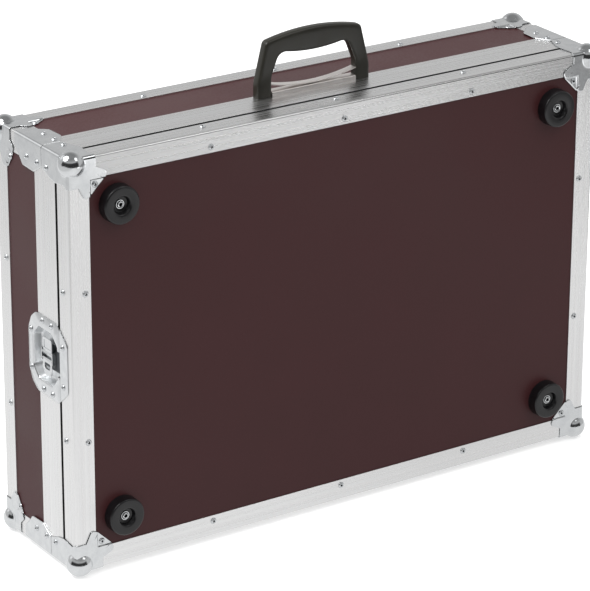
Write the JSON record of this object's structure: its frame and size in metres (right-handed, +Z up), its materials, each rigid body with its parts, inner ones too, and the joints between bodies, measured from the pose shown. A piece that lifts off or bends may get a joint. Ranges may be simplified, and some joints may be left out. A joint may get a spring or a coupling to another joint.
{
  "type": "pedal case",
  "caption": "Rectangular flight case of dark faced plywood with aluminium edges, ball corners, rubber feet, carry handle, lift-off lid and recessed butterfly latches.",
  "frame": {"origin": "middle of the case's overall footprint, on the surface its lower ball corners stand on", "axes": "+X along the case, +Y from the feet's face to the back of the lid, +Z up to the handle"},
  "size_m": [0.8614, 0.2126, 0.675],
  "materials": {
    "phenolic_plywood": "satin",
    "aluminium_extrusion": "satin",
    "zinc_steel": "polished",
    "black_rubber": "matte",
    "black_moulding": "satin"
  },
  "bodies": {
    "base": {"base_panel": "phenolic_plywood", "base_rim_bottom": "phenolic_plywood", "base_rim_top": "phenolic_plywood", "base_rim_left": "phenolic_plywood", "base_rim_right": "phenolic_plywood", "base_edge_bottom": "aluminium_extrusion", "base_edge_top": "aluminium_extrusion", "base_edge_left": "aluminium_extrusion", "base_edge_right": "aluminium_extrusion", "base_corner_bottom_left": "zinc_steel", "base_corner_bottom_right": "zinc_steel", "base_corner_top_left": "zinc_steel", "base_corner_top_right": "zinc_steel", "foot_bottom_left": "black_rubber", "foot_bottom_right": "black_rubber", "foot_top_left": "black_rubber", "foot_top_right": "black_rubber", "foot_screws": "zinc_steel", "base_rivets": "zinc_steel", "keeper_left": "zinc_steel", "keeper_right": "zinc_steel"},
    "lid": {"lid_back_panel": "phenolic_plywood", "lid_wall_bottom": "phenolic_plywood", "lid_wall_top": "phenolic_plywood", "lid_wall_left": "phenolic_plywood", "lid_wall_right": "phenolic_plywood", "lid_closing_bottom": "aluminium_extrusion", "lid_closing_top": "aluminium_extrusion", "lid_closing_left": "aluminium_extrusion", "lid_closing_right": "aluminium_extrusion", "lid_edge_bottom": "aluminium_extrusion", "lid_edge_top": "aluminium_extrusion", "lid_edge_left": "aluminium_extrusion", "lid_edge_right": "aluminium_extrusion", "lid_depth_angles": "aluminium_extrusion", "lid_corner_bottom_left": "zinc_steel", "lid_corner_bottom_right": "zinc_steel", "lid_corner_top_left": "zinc_steel", "lid_corner_top_right": "zinc_steel", "lid_brace_bottom_left": "zinc_steel", "lid_brace_bottom_right": "zinc_steel", "lid_brace_top_left": "zinc_steel", "lid_brace_top_right": "zinc_steel", "lid_rivets": "zinc_steel", "handle_grip": "black_moulding", "handle_strap": "zinc_steel", "handle_bridge": "zinc_steel", "handle_bolts": "zinc_steel", "latch_dish_left": "zinc_steel", "latch_dish_right": "zinc_steel"},
    "latch_hub_left": {"latch_hub_left": "zinc_steel"},
    "latch_hook_left": {"latch_hook_left": "zinc_steel"},
    "wing_upper_left": {"wing_upper_left": "zinc_steel"},
    "wing_lower_left": {"wing_lower_left": "zinc_steel"},
    "latch_hub_right": {"latch_hub_right": "zinc_steel"},
    "latch_hook_right": {"latch_hook_right": "zinc_steel"},
    "wing_upper_right": {"wing_upper_right": "zinc_steel"},
    "wing_lower_right": {"wing_lower_right": "zinc_steel"}
  },
  "joints": [
    {"name": "lid_lift", "type": "slide", "parent": "base", "child": "lid", "axis": [0, 1, 0], "range_m": [0, 0.25]},
    {"name": "latch_turn_left", "type": "hinge", "parent": "lid", "child": "latch_hub_left", "pos_m": [-0.42225, -0.02335, 0.297], "axis": [1, 0, 0], "range_deg": [0, 180]},
    {"name": "latch_draw_left", "type": "slide", "parent": "lid", "child": "latch_hook_left", "axis": [0, -1, 0], "range_m": [0, 0.006]},
    {"name": "wing_fold_upper_left", "type": "hinge", "parent": "latch_hub_left", "child": "wing_upper_left", "pos_m": [-0.41995, -0.02335, 0.302], "axis": [0, -1, 0], "range_deg": [0, 90], "stiffness_Nm_per_rad": 0.01, "springref_deg": -20.05},
    {"name": "wing_fold_lower_left", "type": "hinge", "parent": "latch_hub_left", "child": "wing_lower_left", "pos_m": [-0.41995, -0.02335, 0.292], "axis": [0, 1, 0], "range_deg": [0, 90], "stiffness_Nm_per_rad": 0.01, "springref_deg": -20.05},
    {"name": "latch_turn_right", "type": "hinge", "parent": "lid", "child": "latch_hub_right", "pos_m": [0.42225, -0.02335, 0.297], "axis": [1, 0, 0], "range_deg": [0, 180]},
    {"name": "latch_draw_right", "type": "slide", "parent": "lid", "child": "latch_hook_right", "axis": [0, -1, 0], "range_m": [0, 0.006]},
    {"name": "wing_fold_upper_right", "type": "hinge", "parent": "latch_hub_right", "child": "wing_upper_right", "pos_m": [0.41995, -0.02335, 0.302], "axis": [0, 1, 0], "range_deg": [0, 90], "stiffness_Nm_per_rad": 0.01, "springref_deg": -20.05},
    {"name": "wing_fold_lower_right", "type": "hinge", "parent": "latch_hub_right", "child": "wing_lower_right", "pos_m": [0.41995, -0.02335, 0.292], "axis": [0, -1, 0], "range_deg": [0, 90], "stiffness_Nm_per_rad": 0.01, "springref_deg": -20.05}
  ],
  "couplings": [
    {"joint": "latch_draw_left", "follows": "latch_turn_left", "m_per_rad": 0.0019098},
    {"joint": "latch_draw_right", "follows": "latch_turn_right", "m_per_rad": 0.0019098}
  ]
}
